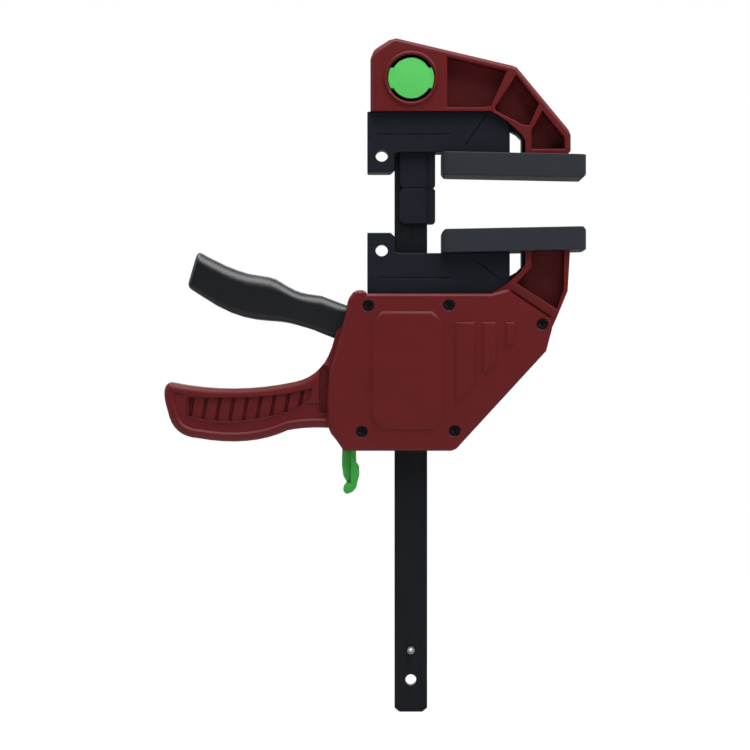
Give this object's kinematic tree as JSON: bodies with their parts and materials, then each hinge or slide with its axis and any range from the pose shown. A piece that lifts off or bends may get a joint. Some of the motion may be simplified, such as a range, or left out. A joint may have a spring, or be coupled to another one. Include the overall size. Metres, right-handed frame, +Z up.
{
  "type": "quick release bar clamp",
  "caption": "One-handed bar clamp: a squeeze lever walks the moving jaw up a flat steel bar towards the fixed jaw, and a trigger releases it.",
  "frame": {"origin": "middle of the hole at the bar's foot, midway through the bar's thickness", "axes": "+Z up along the bar towards the fixed jaw, +X out along the jaws, +Y from the front face to the back"},
  "size_m": [0.2695, 0.0404, 0.4315],
  "materials": {
    "bar_steel": "black painted steel bar",
    "zinc_steel": "zinc plated steel",
    "spring_steel": "bare spring wire",
    "hard_plate": "hardened steel plate",
    "black_screw": "black oxide screw",
    "red_nylon": "fine moulded texture",
    "black_nylon": "moulded satin",
    "black_pad": "moulded soft pad",
    "lever_plastic": "satin moulded grip",
    "button_plastic": "bright green moulding",
    "trigger_plastic": "green moulding"
  },
  "bodies": {
    "bar": {"bar": "bar_steel", "bar_stop_pin": "zinc_steel", "bar_clip_upper": "black_nylon", "bar_clip_lower": "black_nylon", "fixed_jaw_arm": "red_nylon", "fixed_jaw_bracket": "black_nylon", "fixed_jaw_pad": "black_pad", "button_spring": "spring_steel", "button_rear_cap": "black_nylon"},
    "button": {"release_button": "button_plastic", "lock_plate": "zinc_steel", "lock_pin": "zinc_steel"},
    "carriage": {"front_shell": "red_nylon", "rear_shell": "red_nylon", "moving_jaw_bracket": "black_nylon", "moving_jaw_pad": "black_pad", "cover_screws": "black_screw", "lever_pin": "zinc_steel", "trigger_pin": "zinc_steel", "drive_spring": "spring_steel", "spring_seat": "zinc_steel", "brake_spring": "spring_steel"},
    "lever": {"squeeze_lever": "lever_plastic"},
    "drive": {"drive_plate_1": "hard_plate", "drive_plate_2": "hard_plate", "drive_plate_3": "hard_plate"},
    "trigger": {"release_trigger": "trigger_plastic", "brake_plate_1": "hard_plate", "brake_plate_2": "hard_plate"}
  },
  "joints": [
    {"name": "jaw_slide", "type": "slide", "parent": "bar", "child": "carriage", "axis": [0, 0, 1], "range_m": [-0.125, 0.0304]},
    {"name": "lever_squeeze", "type": "hinge", "parent": "carriage", "child": "lever", "pos_m": [-0.0185, 0, 0.22808], "axis": [0, -1, 0], "range_deg": [0, 24], "stiffness_Nm_per_rad": 0.8, "springref_deg": -14.32},
    {"name": "drive_stroke", "type": "slide", "parent": "carriage", "child": "drive", "axis": [0, 0, -1], "range_m": [0, 0.0057], "deforming": ["drive_spring"]},
    {"name": "trigger_pull", "type": "hinge", "parent": "carriage", "child": "trigger", "pos_m": [0.021, 0, 0.16812], "axis": [0, -1, 0], "range_deg": [0, 8], "stiffness_Nm_per_rad": 1, "springref_deg": -8.59, "deforming": ["brake_spring"]},
    {"name": "button_press", "type": "slide", "parent": "bar", "child": "button", "axis": [0, 1, 0], "range_m": [0, 0.0055], "stiffness_N_per_m": 500, "springref_m": -0.002, "deforming": ["button_spring"]}
  ],
  "couplings": [
    {"joint": "drive_stroke", "follows": "lever_squeeze", "m_per_rad": 0.0135}
  ]
}
